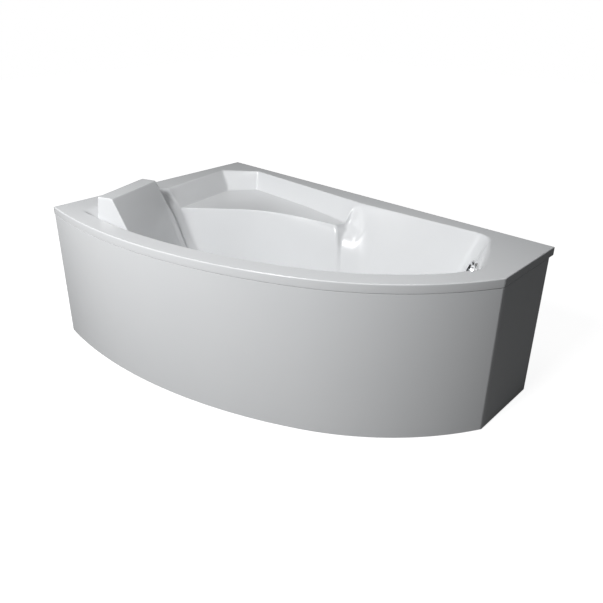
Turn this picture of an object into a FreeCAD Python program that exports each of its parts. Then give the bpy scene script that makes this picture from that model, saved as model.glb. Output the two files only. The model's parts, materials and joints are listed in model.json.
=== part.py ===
# Corner bathtub of an uneven outline: one long side and one short side stand against two walls,
# and the free front is a single bowed curve.  A vacuum-formed acrylic shell hangs on timber battens,
# stands on two steel channels with four screw feet, and is closed in front by a one-piece apron.
# Millimetres, +Z up.  The origin is on the floor, in the middle of the bath's own box.
import FreeCAD, Part
import math
import os
import Sketcher
from FreeCAD import Placement, Rotation, Vector

UP = Vector(0, 0, 1)

# ---------------------------------------------------------------- driving sizes
SIZES = [
    # outline
    ("overall_length", 1600, "along the long wall"),
    ("overall_depth", 1000, "from the long wall to the front of the bow"),
    ("side_depth", 350, "short side at the foot end"),
    ("rim_height", 565, "top of the rim above the floor"),
    ("heading_left", 8.3, "degrees the bow runs outwards at the left corner"),
    ("heading_middle", 28, "degrees where the two front arcs meet"),
    ("heading_right", 61, "degrees at the right front corner"),
    # shell
    ("shell_wall", 5, "acrylic with its backing"),
    ("lip_drop", 31, "turned-down edge below the rim's top"),
    ("edge_round", 4, "rounding of the rim's outer edge"),
    ("floor_rise", 135, "inside floor above the ground"),
    ("front_rim", 73, "width of the rim along the bow"),
    ("foot_rim", 200, "from the foot side to the well's back corner"),
    ("back_rim", 60, "rim width at the well's back corner"),
    ("crease_from_head", 858, "place of the bend in the back edge"),
    ("crease_rim", 90, "rim width at that bend"),
    ("nose_from_head", 820, "end of the corner shelf"),
    ("nose_from_back", 178, "end of the corner shelf"),
    ("bend_from_head", 464, "bend of the shelf's front edge"),
    ("bend_from_back", 236, "bend of the shelf's front edge"),
    ("bend_round", 520, "radius of that bend"),
    ("floor_bend_round", 120, "the same at the floor"),
    ("head_from_left", 162, "back end of the head edge"),
    ("head_from_back", 487, "back end of the head edge"),
    ("head_bearing", 13.5, "degrees the head end is turned in plan"),
    ("foot_bearing", 18.4, "degrees the foot end is turned in plan"),
    ("front_slope", 14, "degrees from upright, front wall of the well"),
    ("foot_slope", 20, "foot wall"),
    ("back_slope", 21, "back wall beyond the shelf"),
    ("shelf_slope", 11, "wall below the shelf"),
    ("head_slope", 35, "back rest"),
    ("well_round", 80, "corner radius of the well in plan"),
    ("floor_round", 45, "corner radius of the well's floor in plan"),
    ("step_fade", 2.5, "what is left of the shelf's end step at the floor"),
    # corner shelf
    ("shelf_depth", 80, "rim to the shelf"),
    ("shelf_back_rim", 50, "rim width behind the shelf"),
    ("shelf_chamfer_x", 205, "where the cut corner starts along the long wall"),
    ("shelf_chamfer_y", 160, "where the cut corner ends along the short wall"),
    ("shelf_head_rim", 63, "rim width at the head side of the shelf"),
    ("shelf_draft", 26, "how far the shelf's walls lean in"),
    ("shelf_head_draft", 62, "the same at the head side"),
    ("shelf_turn_draft", 45, "the same where the pocket turns into the well"),
    ("shelf_turn_x", 88, "start of that turn, from the left wall line"),
    ("shelf_turn_y", 366, "start of that turn, from the long wall"),
    ("shelf_end_x", 178, "end of that turn"),
    ("shelf_end_y", 487, "end of that turn"),
    ("shelf_round", 30, "corner radius of the pocket in plan"),
    ("shelf_overlap", 190, "the pocket's open side reaches this far into the well"),
    ("shelf_run_back", 35, "at the shelf the pocket's back edge ends this much nearer the head"),
    ("shelf_run_in", 54, "and this much farther from the long wall"),
    ("shelf_end_clear", 30, "the pocket's open end reaches this far past the nose"),
    # head rest
    ("rest_height", 62, "top of the head rest above the rim"),
    ("rest_left", 190, "front left corner of its top, from the left wall line"),
    ("rest_from_front", 114, "the same corner, from the front of the bow"),
    ("rest_width", 68, "top, across"),
    ("rest_length", 277, "top, along"),
    ("rest_bearing", 19, "degrees it is turned in plan"),
    ("rest_slope", 60, "degrees of its front face from level"),
    ("rest_reach", 315, "its front face runs this far below the rim"),
    ("rest_hollow", 250, "its hollow runs this far below the rim"),
    # apron
    ("apron_wall", 4, "sheet thickness"),
    ("apron_inset", 1, "apron behind the rim's outer edge"),
    ("apron_gap", 1.5, "shadow gap below the lip"),
    ("apron_foot_gap", 2, "above the floor"),
    ("tongue_gap", 1, "tongue behind the lip's inner face"),
    ("apron_tongue", 15, "tongue above the lip's lower edge"),
    ("apron_tongue_wall", 3, "its thickness"),
    ("apron_joggle", 14, "depth of the step that carries the tongue"),
    ("apron_return", 45, "flange on the left side"),
    ("apron_flange", 20, "turned-in bottom edge"),
    ("flange_wall", 3, "its thickness"),
    # timber
    ("batten_width", 30, "rim battens"),
    ("batten_height", 26, "rim battens"),
    ("seat_gap", 2, "battens behind the lip"),
    ("left_batten_stop", 130, "left batten stops before the front"),
    ("right_batten_stop", 30, "right batten stops before the bow's corner"),
    ("block_length", 60, "blocks behind the bow"),
    ("board_thickness", 16, "board under the floor"),
    ("board_margin", 14, "board inside the floor's edge"),
    ("drain_clear", 52, "board stops this far before the drain"),
    # legs and feet
    ("head_bar_x", 560, "head channel, from the left wall line"),
    ("head_bar_back", 275, "its back foot, from the long wall"),
    ("head_bar_front", 150, "its front foot, from the front of the bow"),
    ("foot_bar_x", 520, "foot channel, from the foot side"),
    ("foot_bar_back", 190, "its back foot, from the long wall"),
    ("foot_bar_share", 0.54, "its front foot, as a share of the bow's depth beyond the short side"),
    ("bar_width", 40, "channel"),
    ("bar_height", 25, "channel"),
    ("bar_wall", 2.5, "channel"),
    ("bar_end", 22, "channel beyond the stud"),
    ("stud_radius", 5, "foot stud"),
    ("stud_above", 38, "foot stud above the channel"),
    ("stud_bevel", 1, "its tip"),
    ("stud_clearance", 0.5, "hole round the stud"),
    ("nut_flats", 17, "across flats"),
    ("nut_height", 8, "lock nut"),
    ("pad_radius", 25, "foot pad"),
    ("pad_base", 6, "foot pad under the stud"),
    ("pad_height", 24, "foot pad"),
    ("pad_edge", 4, "foot pad, height of its rim"),
    ("pad_shoulder", 9, "foot pad, height where its neck starts"),
    ("screw_radius", 2.5, "channel and bracket screws"),
    ("screw_head", 5.5, "their heads"),
    ("screw_rise", 2.5, "their heads"),
    ("screw_length", 12, "channel screws"),
    ("screw_pitch", 120, "between the channel screws"),
    # fixings
    ("bracket_width", 60, "wall brackets"),
    ("bracket_drop", 62, "wall brackets"),
    ("bracket_wall", 2, "steel sheet"),
    ("bracket_hole", 4, "radius of the wall screw holes"),
    ("bracket_pitch", 36, "between them"),
    ("bracket_hole_rise", 16, "their centres above the leaf's lower edge"),
    ("bracket_setback", 14, "batten screws before the leaf's end"),
    ("bracket_first", 350, "first wall bracket, from the left wall line"),
    ("bracket_second", 1200, "second wall bracket"),
    ("bracket_side", 450, "bracket on the short wall, from the long wall"),
    ("clip_width", 24, "apron clips"),
    ("clip_wall", 1.2, "spring steel"),
    ("clip_leaf", 14, "bent-up leaf"),
    ("clip_reach", 27, "leaf under the block"),
    ("strut_width", 30, "apron struts"),
    ("strut_leaf", 40, "bent-down leaf"),
    ("strut_overlap", 15, "welded under the channel's end"),
    # waste
    ("drain_from_foot", 365, "drain centre from the foot side"),
    ("drain_from_back", 345, "drain centre from the long wall"),
    ("drain_hole", 27, "radius of the hole in the floor"),
    ("flange_radius", 36, "drain flange"),
    ("flange_rise", 3, "drain flange"),
    ("neck_radius", 25, "drain flange neck"),
    ("neck_bore", 21, "drain flange neck"),
    ("neck_length", 26, "below the gasket"),
    ("gasket_rise", 1, "upper gasket"),
    ("gasket_under", 3, "lower gasket"),
    ("plug_radius", 29, "drain plug"),
    ("plug_rise", 5, "drain plug"),
    ("spindle_radius", 4, "plug spindle"),
    ("running_gap", 0.08, "guides round the spindle and nuts round the studs"),
    ("hub_radius", 9, "spindle guide"),
    ("cup_radius", 32, "waste body"),
    ("cup_wall", 3, "waste body"),
    ("cup_height", 34, "waste body"),
    ("spigot_radius", 20, "waste outlet"),
    ("spigot_wall", 2.5, "waste pipes"),
    ("trap_radius", 40, "trap cup"),
    ("trap_height", 52, "trap cup"),
    ("trap_drop", 27, "trap's top below the waste body"),
    ("trap_wall", 3, "trap cup"),
    ("trap_socket", 22, "outlet socket outside the cup"),
    ("trap_opening", 24, "radius of the clean-out hole"),
    ("cap_radius", 32, "clean-out cap"),
    ("cap_rise", 8, "clean-out cap"),
    ("cap_plug", 2.5, "its plug inside the hole"),
    ("cap_bevel", 2, "its edge"),
    ("outlet_length", 210, "outlet from the trap's centre"),
    ("outlet_rise", 28, "outlet axis above the trap's bottom"),
    ("outlet_start", 10, "outlet pipe's end outside the cup"),
    ("outlet_free", 130, "outlet pipe's full-size run, past its nut"),
    ("outlet_relief", 0.2, "its inner end is turned down by this"),
    ("nut_grip", 6, "waste nuts outside their pipe"),
    ("nut_length", 16, "waste nuts"),
    ("slip_gap", 0.3, "pipes in their sockets and nuts"),
    ("strainer_arm", 4, "width of the arms"),
    ("strainer_rise", 6, "height of the arms"),
    ("hub_rise", 16, "height of the guide"),
    ("spigot_length", 40, "waste outlet below the body, into the trap"),
    ("socket_length", 16, "overflow socket outside the body"),
    ("socket_rise", 15, "overflow socket's axis above the body's bottom"),
    ("cup_lip", 3, "waste body's rim outside its cup"),
    ("cup_lip_rise", 4, "height of that rim"),
    ("plug_gap", 1.4, "plug above the flange's seat"),
    ("seal_drop", 2.2, "plug seal"),
    ("seal_gap", 0.6, "seal inside the neck"),
    ("hub_start", 4, "spindle guide above the neck's end"),
    ("spindle_tail", 6, "spindle below its guide"),
    # overflow
    ("overflow_from_foot", 163, "centre of the overflow"),
    ("overflow_from_back", 260, "centre of the overflow"),
    ("overflow_drop", 54, "centre below the rim"),
    ("overflow_bearing", 33, "degrees its face is turned in plan"),
    ("overflow_tilt", 20, "degrees its face looks up"),
    ("boss_radius", 34, "flat seat in the shell"),
    ("boss_depth", 24, "seat down to the sloping wall"),
    ("overflow_hole", 22, "radius of the hole"),
    ("rosette_radius", 30, "overflow ring"),
    ("rosette_rise", 6, "overflow ring"),
    ("rosette_mouth", 19, "its opening"),
    ("elbow_radius", 28, "overflow body"),
    ("elbow_depth", 40, "overflow body"),
    ("elbow_wall", 3, "overflow body"),
    ("overflow_gap", 1, "shell's seat to the gasket"),
    ("overflow_seal", 2, "overflow gasket"),
    ("post_radius", 5, "screw post and screw head"),
    ("post_stop", 4, "screw's bore above the post's foot"),
    ("screw_stop", 24, "overflow screw behind the seat"),
    ("screw_cap", 2, "height of the screw's head"),
    ("ring_lean", 3, "how far the overflow ring's edge leans in"),
    ("overflow_screw", 2.4, "radius of the screw"),
    ("bridge_width", 6, "bar across the ring's mouth"),
    ("bridge_rise", 2.5, "bar across the ring's mouth"),
    ("bridge_hub", 6, "radius of the boss in its middle"),
    ("pipe_radius", 14, "overflow pipe"),
    ("pipe_wall", 2, "overflow pipe"),
    ("pipe_bend", 60, "overflow pipe"),
    ("pipe_start", 14, "overflow pipe's top below the elbow"),
    ("pipe_nut_length", 22, "overflow pipe's nuts"),
    ("pipe_nut_grip", 4, "overflow pipe's nuts outside the pipe"),
]

doc = FreeCAD.newDocument("corner_bathtub")
sheet = doc.addObject("Spreadsheet::Sheet", "sizes")
for row, (alias, value, note) in enumerate(SIZES, start=1):
    sheet.set("A%d" % row, alias)
    sheet.set("B%d" % row, str(value))
    sheet.set("C%d" % row, note)
    sheet.setAlias("B%d" % row, alias)
doc.recompute()


class Length:
    """A size with its value now and the spreadsheet formula that gives it."""

    def __init__(self, value, text):
        self.value = value
        self.text = text

    def __float__(self):
        return self.value

    def __add__(self, other):
        other = length(other)
        return Length(self.value + other.value, "(%s + %s)" % (self.text, other.text))

    def __sub__(self, other):
        other = length(other)
        return Length(self.value - other.value, "(%s - %s)" % (self.text, other.text))

    def __mul__(self, other):
        other = length(other)
        return Length(self.value * other.value, "(%s * %s)" % (self.text, other.text))

    def __truediv__(self, other):
        other = length(other)
        return Length(self.value / other.value, "(%s / %s)" % (self.text, other.text))

    def __neg__(self):
        return Length(-self.value, "(0 - %s)" % self.text)

    __radd__ = __add__

    def __rsub__(self, other):
        return length(other) - self

    __rmul__ = __mul__


def length(value):
    return value if isinstance(value, Length) else Length(float(value), repr(float(value)))


class Sizes:
    """The spreadsheet's cells by name."""

    def __getattr__(self, alias):
        return Length(float(sheet.get(alias)), "sizes.%s" % alias)


size = Sizes()
parts = []
well_depth = size.rim_height - size.floor_rise


def keep(thing, label):
    """Name a finished sub-part: its label is also its file's name."""
    thing.Label = label
    parts.append(thing)
    return thing


def bind(thing, prop, value):
    value = length(value)
    thing.setExpression(prop, value.text)


def put(thing, x, y, z):
    """Tie a thing's place to the sheet."""
    bind(thing, "Placement.Base.x", x)
    bind(thing, "Placement.Base.y", y)
    bind(thing, "Placement.Base.z", z)
    return thing


def shape(label, solid, placement=None):
    """A sub-part whose form is worked out below from the sheet's values."""
    thing = doc.addObject("Part::Feature", label)
    thing.Shape = solid
    if placement is not None:
        thing.Placement = placement
    return keep(thing, label)


def across(x):
    """From the left wall line to the part's own X."""
    return x - size.overall_length / 2


def back(distance):
    """From the long wall to the part's own Y."""
    return size.overall_depth / 2 - distance


# ---------------------------------------------------------------- sketches and bodies
def new_sketch(body, role):
    sketch = body.newObject("Sketcher::SketchObject", "sketch")
    planes = [plane for plane in body.Origin.OriginFeatures if plane.Role == role]
    sketch.AttachmentSupport = [(planes[0], "")]
    sketch.MapMode = "FlatFace"
    return sketch


def hold(sketch, kind, geometry, point, value):
    """Dimension a point from the sketch's origin and tie it to the sheet."""
    value = length(value)
    index = sketch.addConstraint(Sketcher.Constraint(kind, -1, 1, geometry, point, value.value))
    sketch.setExpression("Constraints[%d]" % index, value.text)


def draw_polygon(sketch, corners):
    first = sketch.GeometryCount
    count = len(corners)
    spots = [Vector(float(length(a)), float(length(b)), 0) for a, b in corners]
    for i in range(count):
        sketch.addGeometry(Part.LineSegment(spots[i], spots[(i + 1) % count]))
    for i in range(count):
        sketch.addConstraint(
            Sketcher.Constraint("Coincident", first + i, 2, first + (i + 1) % count, 1))
    for i, (a, b) in enumerate(corners):
        hold(sketch, "DistanceX", first + i, 1, a)
        hold(sketch, "DistanceY", first + i, 1, b)


def draw_circle(sketch, x, y, radius):
    x, y, radius = length(x), length(y), length(radius)
    spot = Vector(x.value, y.value, 0)
    ring = sketch.addGeometry(Part.Circle(spot, Vector(0, 0, 1), radius.value))
    hold(sketch, "DistanceX", ring, 3, x)
    hold(sketch, "DistanceY", ring, 3, y)
    index = sketch.addConstraint(Sketcher.Constraint("Radius", ring, radius.value))
    sketch.setExpression("Constraints[%d]" % index, radius.text)


def turned(label, profile):
    """A part turned about its own Z: the profile is (radius, height) round its edge."""
    body = doc.addObject("PartDesign::Body", label)
    sketch = new_sketch(body, "XZ_Plane")
    draw_polygon(sketch, profile)
    turn = body.newObject("PartDesign::Revolution", "turn")
    turn.Profile = sketch
    turn.ReferenceAxis = (sketch, ["V_Axis"])
    turn.Angle = 360
    sketch.Visibility = False
    body.Tip = turn
    return keep(body, label)


def padded(label, corners, height, role="XY_Plane", middle=False):
    """A part cut to a flat outline and padded."""
    body = doc.addObject("PartDesign::Body", label)
    sketch = new_sketch(body, role)
    draw_polygon(sketch, corners)
    pad = body.newObject("PartDesign::Pad", "pad")
    pad.Profile = sketch
    bind(pad, "Length", height)
    if middle:
        pad.SideType = "Symmetric"
    body.Tip = pad
    return keep(body, label)


def bored(body, holes, role="XY_Plane"):
    """Round holes right through a body, each (x, y, radius) on one of its planes."""
    doc.recompute()
    before = body.Shape.Volume
    sketch = new_sketch(body, role)
    for x, y, radius in holes:
        draw_circle(sketch, x, y, radius)
    pocket = body.newObject("PartDesign::Pocket", "holes")
    pocket.Profile = sketch
    pocket.Type = "ThroughAll"
    pocket.SideType = "Symmetric"
    body.Tip = pocket
    doc.recompute()
    if body.Shape.Volume >= before:
        raise RuntimeError("the holes of %s cut nothing" % body.Label)
    return body


def ring_profile(inner, outer, low, high):
    return [(inner, low), (outer, low), (outer, high), (inner, high)]


# ---------------------------------------------------------------- the bowed front
def radians(value):
    return math.radians(float(value))


def front_arcs():
    """The bow: two tangent arcs that end at the right corner and touch the full depth.

    Each is (centre, radius, first heading, last heading) in the part's own X and Y."""
    left = -radians(size.heading_left)
    middle = radians(size.heading_middle)
    right = radians(size.heading_right)
    a = math.sin(middle) - math.sin(left)
    b = math.sin(right) - math.sin(middle)
    c = 1 - math.cos(middle)
    d = math.cos(middle) - math.cos(right)
    run = float(size.overall_length)
    rise = float(size.overall_depth) - float(size.side_depth)
    large = (run * d - rise * b) / (a * d - b * c)
    small = (rise * a - run * c) / (a * d - b * c)
    first = Vector(-run / 2 - large * math.sin(left), large - float(size.overall_depth) / 2, 0)
    step = large - small
    second = first + Vector(step * math.sin(middle), -step * math.cos(middle), 0)
    return [(first, large, left, middle), (second, small, middle, right)]


def front_point(heading, inset):
    """The point of the bow, moved in by inset, where it runs at this heading."""
    for centre, radius, start, end in front_arcs():
        if heading <= end:
            break
    reach = radius - inset
    return centre + Vector(reach * math.sin(heading), -reach * math.cos(heading), 0)


def front_edges(start, end, inset):
    """Arcs along the bow between two headings."""
    middle = radians(size.heading_middle)
    edges = []
    for a, b in ((start, middle), (middle, end)):
        spots = [front_point(heading, inset) for heading in (a, a + (b - a) / 2, b)]
        edges.append(Part.Arc(*spots).toShape())
    return edges


def outer_face(inset):
    """The bath's own outline, moved in all round."""
    left = -float(size.overall_length) / 2 + inset
    right = float(size.overall_length) / 2 - inset
    top = float(size.overall_depth) / 2 - inset
    start = heading_at(left, inset)
    end = heading_at(right, inset)
    edges = front_edges(start, end, inset)
    spots = [front_point(end, inset), Vector(right, top, 0), Vector(left, top, 0)]
    spots.append(front_point(start, inset))
    for a, b in zip(spots, spots[1:]):
        edges.append(Part.LineSegment(a, b).toShape())
    return Part.Face(Part.Wire(edges))


def heading_at(x, inset):
    """The heading at which the moved-in bow crosses this X."""
    for centre, radius, start, end in front_arcs():
        reach = radius - inset
        if x <= centre.x + reach * math.sin(end):
            break
    return math.asin((x - centre.x) / reach)


def slab(face, low, high):
    """A flat outline raised between two heights."""
    face = face.translated(Vector(0, 0, low))
    return face.extrude(Vector(0, 0, high - low))


# ---------------------------------------------------------------- outlines of the well
def spot(x, distance):
    """A point given from the left wall line and from the long wall."""
    return Vector(float(across(length(x))), float(back(length(distance))), 0)


def moved(line, shift):
    """A side of an outline that runs counter-clockwise, moved outwards."""
    a, b = line
    run = (b - a).normalize()
    out = Vector(run.y, -run.x, 0) * shift
    return (a + out, b + out)


def meet(one, two):
    """Where two sides cross."""
    p = one[0]
    r = one[1] - one[0]
    q = two[0]
    s = two[1] - two[0]
    t = ((q - p).x * s.y - (q - p).y * s.x) / (r.x * s.y - r.y * s.x)
    return p + r * t


def corner_arc(before, ahead, radius):
    """The arc that rounds the corner between two sides."""
    corner = meet(before, ahead)
    u = (before[0] - before[1]).normalize()
    v = (ahead[1] - ahead[0]).normalize()
    half = math.acos(u.dot(v)) / 2
    reach = radius / math.tan(half)
    middle = corner + (u + v).normalize() * (radius / math.sin(half) - radius)
    return [corner + u * reach, middle, corner + v * reach]


def bow_corner(side, inset, radius, arc):
    """The heading where an arc of this radius leaves the bow, and the arc to a side."""
    centre, reach = arc[0], arc[1] - inset - radius
    line = moved(side, -radius)
    run = (line[1] - line[0]).normalize()
    offset = line[0] - centre
    along = offset.dot(run)
    root = math.sqrt(along * along - offset.dot(offset) + reach * reach)
    hub = min((line[0] + run * (t - along) for t in (root, -root)), key=lambda p: p.y)
    heading = math.atan2(hub.x - centre.x, centre.y - hub.y)
    out = Vector(run.y, -run.x, 0)
    on_bow = hub + Vector(math.sin(heading), -math.cos(heading), 0) * radius
    on_side = hub + out * radius
    middle = hub + ((on_bow - hub) + (on_side - hub)).normalize() * radius
    return heading, [on_bow, middle, on_side]


def bow_outline(inset, sides, radii):
    """A closed outline: a stretch of the bow, then these sides, all rounded."""
    arcs = front_arcs()
    end, foot = bow_corner(sides[0], inset, radii[0], arcs[1])
    start, head = bow_corner(sides[-1], inset, radii[-1], arcs[0])
    edges = front_edges(start, end, inset) + [Part.Arc(*foot).toShape()]
    here = foot[2]
    for before, ahead, radius in zip(sides, sides[1:], radii[1:]):
        turn = corner_arc(before, ahead, radius)
        edges.append(Part.LineSegment(here, turn[0]).toShape())
        edges.append(Part.Arc(*turn).toShape())
        here = turn[2]
    edges.append(Part.LineSegment(here, head[2]).toShape())
    edges.append(Part.Arc(head[2], head[1], head[0]).toShape())
    return Part.Wire(edges)


def well_sides(depth):
    """The straight sides of the well at a depth below the rim: foot, back, nose, shelf, head."""
    back_corner = spot(size.overall_length - size.foot_rim, size.back_rim)
    crease = spot(size.crease_from_head, size.crease_rim)
    nose = spot(size.nose_from_head, size.nose_from_back)
    bend = spot(size.bend_from_head, size.bend_from_back)
    head = spot(size.head_from_left, size.head_from_back)
    foot_run = Vector(-math.sin(radians(size.foot_bearing)), math.cos(radians(size.foot_bearing)), 0)
    head_run = Vector(math.sin(radians(size.head_bearing)), -math.cos(radians(size.head_bearing)), 0)
    foot = moved((back_corner - foot_run, back_corner), -depth * math.tan(radians(size.foot_slope)))
    rear = moved((back_corner, crease), -depth * math.tan(radians(size.back_slope)))
    shelf = moved((nose, bend), -depth * math.tan(radians(size.shelf_slope)))
    head_shelf = moved((bend, head), -depth * math.tan(radians(size.shelf_slope)))
    head_end = moved((head, head + head_run), -depth * math.tan(radians(size.head_slope)))
    if depth == 0:
        step = (crease, nose)
    else:
        # the step behind the shelf's end has almost died out at the floor
        crossing = meet(rear, shelf)
        run = (rear[1] - rear[0]).normalize() + (shelf[1] - shelf[0]).normalize()
        step = moved((crossing, crossing + run), -float(size.step_fade))
    return [foot, rear, step, shelf, head_shelf, head_end]


def well_outline(depth, grow, height):
    """The well's outline at a depth below the rim, moved outwards by grow, at this height."""
    share = depth / float(well_depth)
    inset = float(size.front_rim) + depth * math.tan(radians(size.front_slope)) - grow
    sides = [moved(side, grow) for side in well_sides(depth)]
    corner = float(size.well_round) * (1 - share) + float(size.floor_round) * share + grow
    bend = float(size.bend_round) * (1 - share) + float(size.floor_bend_round) * share
    nose = corner / 3
    radii = [corner, corner, nose, nose, bend, corner, corner]
    return bow_outline(inset, sides, radii).translated(Vector(0, 0, height))


# ---------------------------------------------------------------- the shell
def well_solid(grow, drop):
    """The well from its floor, lowered by drop, up to the rim."""
    depth = float(well_depth)
    top = float(size.rim_height)
    low = well_outline(depth, grow, top - depth - drop)
    return Part.makeLoft([low, well_outline(0, grow, top)], True, True)


def shelf_outline(depth, grow, height):
    """The corner pocket over the shelf; its inner side lies inside the well."""
    share = depth / float(size.shelf_depth)
    lean = float(size.shelf_draft) * share
    crease = spot(size.crease_from_head - size.shelf_run_back * share,
                  size.crease_rim + size.shelf_run_in * share)
    wall_start = spot(size.shelf_chamfer_x, size.shelf_back_rim)
    leaning = spot(size.shelf_chamfer_x, size.shelf_back_rim + lean)
    head_start = spot(size.shelf_head_rim, size.shelf_chamfer_y)
    turn_start = spot(size.shelf_turn_x, size.shelf_turn_y)
    turn_end = spot(size.shelf_end_x, size.shelf_end_y)
    inside = spot(size.bend_from_head, size.bend_from_back + size.shelf_overlap)
    nose_in = spot(size.nose_from_head + size.shelf_end_clear, size.nose_from_back + size.shelf_end_clear)
    past = turn_end + (turn_end - turn_start) * 0.4
    sides = [
        moved((crease, leaning), grow),
        moved((wall_start, head_start), grow - lean),
        moved((head_start, turn_start), grow - float(size.shelf_head_draft) * share),
        moved((turn_start, turn_end), grow - float(size.shelf_turn_draft) * share),
        (past, inside),
        (inside, nose_in),
        moved((nose_in, crease), grow),
    ]
    radius = float(size.shelf_round) + grow
    radii = [radius, radius, radius * 3, radius / 3, radius, radius / 3, radius / 4]
    turns = [corner_arc(a, b, r) for a, b, r in zip(sides, sides[1:] + sides[:1], radii)]
    edges = []
    for turn, following in zip(turns, turns[1:] + turns[:1]):
        edges.append(Part.Arc(*turn).toShape())
        edges.append(Part.LineSegment(turn[2], following[0]).toShape())
    return Part.Wire(edges).translated(Vector(0, 0, height))


def shelf_solid(grow, drop):
    """The pocket over the shelf, from the shelf, lowered by drop, up to the rim."""
    depth = float(size.shelf_depth)
    top = float(size.rim_height)
    low = shelf_outline(depth, grow, top - depth - drop)
    return Part.makeLoft([low, shelf_outline(0, grow, top)], True, True)


def deck_solid():
    """The flat rim with its turned-down edge, its outer edge rounded."""
    top = float(size.rim_height)
    low = top - float(size.lip_drop)
    blank = slab(outer_face(0), low, top)
    brink = [edge for edge in blank.Edges if edge.BoundBox.ZMin > top - 0.01]
    blank = blank.makeFillet(float(size.edge_round), brink)
    wall = float(size.shell_wall)
    return blank.cut(slab(outer_face(wall), low - 1, top - wall))


def rest_prism(wall, depth):
    """The head rest as a wedge, moved in by wall, reaching this far below the rim."""
    turn = radians(size.rest_bearing)
    over = Vector(math.cos(turn), math.sin(turn), 0)
    along = Vector(-math.sin(turn), math.cos(turn), 0)
    top = float(size.rim_height) + float(size.rest_height) - wall
    slope = math.tan(radians(size.rest_slope))
    inset = wall / math.sin(radians(size.rest_slope)) - wall / slope
    start = spot(size.rest_left, size.overall_depth - size.rest_from_front) + along * wall
    low = float(size.rim_height) - depth
    front = float(size.rest_width) - inset
    foot = front + (top - low) / slope
    seat = float(size.rim_height) - float(size.shell_wall)
    if wall > 0:
        profile = [(wall, low), (wall, top), (front, top), (foot, low)]
    else:
        profile = [(0, seat), (0, top), (front, top), (foot, low)]
    spots = [start + over * a + UP * b for a, b in profile]
    face = Part.Face(Part.makePolygon(spots + spots[:1]))
    return face.extrude(along * (float(size.rest_length) - 2 * wall))


def overflow_axis():
    """The overflow's centre on the shell and the way its face looks, into the well."""
    x = float(across(size.overall_length - size.overflow_from_foot))
    y = float(back(size.overflow_from_back))
    z = float(size.rim_height - size.overflow_drop)
    turn = radians(size.overflow_bearing)
    tilt = radians(size.overflow_tilt)
    level = math.cos(tilt)
    look = Vector(-math.cos(turn) * level, -math.sin(turn) * level, math.sin(tilt))
    return Vector(x, y, z), look


def rod(radius, start, look, reach):
    """A cylinder from a point along a direction."""
    return Part.makeCylinder(float(radius), float(reach), start, look)


def drain_spot():
    return (across(size.overall_length - size.drain_from_foot), back(size.drain_from_back))


def tub_solid():
    """The shell: its outer skin less the room inside, both built from the same outlines."""
    wall = float(size.shell_wall)
    rest = rest_prism(0, float(size.rest_reach))
    seat, look = overflow_axis()
    deep = float(size.boss_depth)
    boss = rod(size.boss_radius, seat - look * deep, look, deep)
    skin = well_solid(wall, wall).fuse([shelf_solid(wall, wall), deck_solid(), rest, boss])
    cavity = well_solid(0, 0).fuse(shelf_solid(0, 0))
    # the head rest and the overflow's flat seat stand inside the room
    cavity = cavity.cut([rest, boss])
    tub = skin.cut(cavity)
    tub = tub.cut(rest_prism(wall, float(size.rest_hollow)))
    behind = seat - look * (2 * deep)
    tub = tub.cut(rod(size.boss_radius - wall + 1, behind, look, 2 * deep - wall - 1))
    tub = tub.cut(rod(size.overflow_hole, behind, look, 3 * deep))
    x, y = drain_spot()
    tub = tub.cut(rod(size.drain_hole, Vector(float(x), float(y), 0), UP, size.rim_height))
    return tub.removeSplitter()


shape("tub_shell", tub_solid())


# ---------------------------------------------------------------- the apron
def apron_solid():
    """One sheet round the bow and the foot side, stepped back to slip behind the lip."""
    inset = float(size.apron_inset)
    wall = float(size.apron_wall)
    low = float(size.apron_foot_gap)
    lip = float(size.rim_height - size.lip_drop)
    top = lip - float(size.apron_gap)
    joggle = float(size.apron_joggle)
    tongue_out = float(size.shell_wall + size.tongue_gap)
    tongue_in = tongue_out + float(size.apron_tongue_wall)
    sheet_body = slab(outer_face(inset), low, top).cut(slab(outer_face(inset + wall), 0, top + 1))
    step = slab(outer_face(inset + wall), top - joggle, top)
    step = step.cut(slab(outer_face(tongue_in), 0, top + 1))
    tongue = slab(outer_face(tongue_out), top, lip + float(size.apron_tongue))
    tongue = tongue.cut(slab(outer_face(tongue_in), 0, float(size.rim_height)))
    flange = slab(outer_face(inset + wall), low, low + float(size.flange_wall))
    flange = flange.cut(slab(outer_face(inset + float(size.apron_flange)), 0, lip))
    ring = sheet_body.fuse([step, tongue, flange])
    # the two wall sides stay open: only a short return is left at the bow's left end
    left = -float(size.overall_length) / 2
    right = -left
    long_wall = float(size.overall_depth) / 2
    gap_end = front_point(-radians(size.heading_left), 0).y + float(size.apron_return)
    reach = 1.5 * float(size.apron_flange)
    room = float(size.rim_height) + 2
    along_wall = Part.makeBox(2 * right + 2, reach, room, Vector(left - 1, long_wall - reach, -1))
    side = Part.makeBox(reach, long_wall - gap_end + 1, room, Vector(left - 1, gap_end, -1))
    return ring.cut([along_wall, side])


shape("apron_panel", apron_solid())


# ---------------------------------------------------------------- timber under the rim
def box(label, x, y, z, long, wide, tall):
    thing = doc.addObject("Part::Box", "block")
    bind(thing, "Length", long)
    bind(thing, "Width", wide)
    bind(thing, "Height", tall)
    put(thing, x, y, z)
    return keep(thing, label)


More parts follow.
